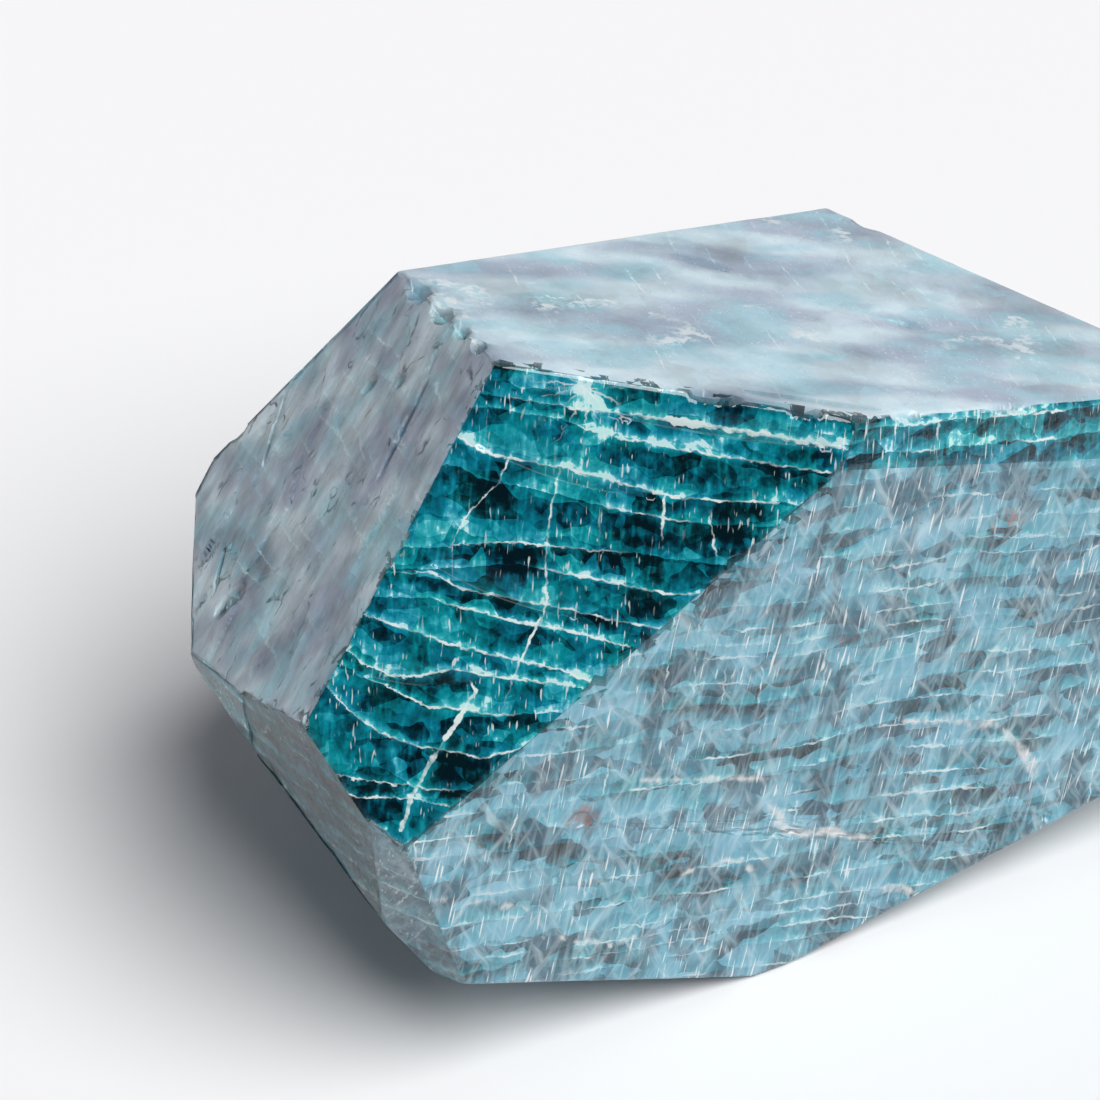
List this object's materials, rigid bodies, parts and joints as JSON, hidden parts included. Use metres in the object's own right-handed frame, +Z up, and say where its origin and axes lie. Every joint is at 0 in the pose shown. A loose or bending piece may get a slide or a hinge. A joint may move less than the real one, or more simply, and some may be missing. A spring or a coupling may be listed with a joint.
{
  "type": "apatite freeform",
  "caption": "Palm-sized polished apatite stone, ground to flat faces of uneven size, that lies on its flat underside as a display piece or paperweight.",
  "frame": {"origin": "on the table under the middle of the stone's bounding box", "axes": "+X along the stone's length towards its hidden blunt end, +Z up, -Y towards the clear polished window that faces the camera"},
  "size_m": [0.102, 0.073, 0.0582],
  "materials": {
    "apatite": "polished teal apatite, glossy, with pale fracture lines and rust-brown stains inside"
  },
  "bodies": {
    "root": {"stone": "apatite"}
  },
  "joints": []
}
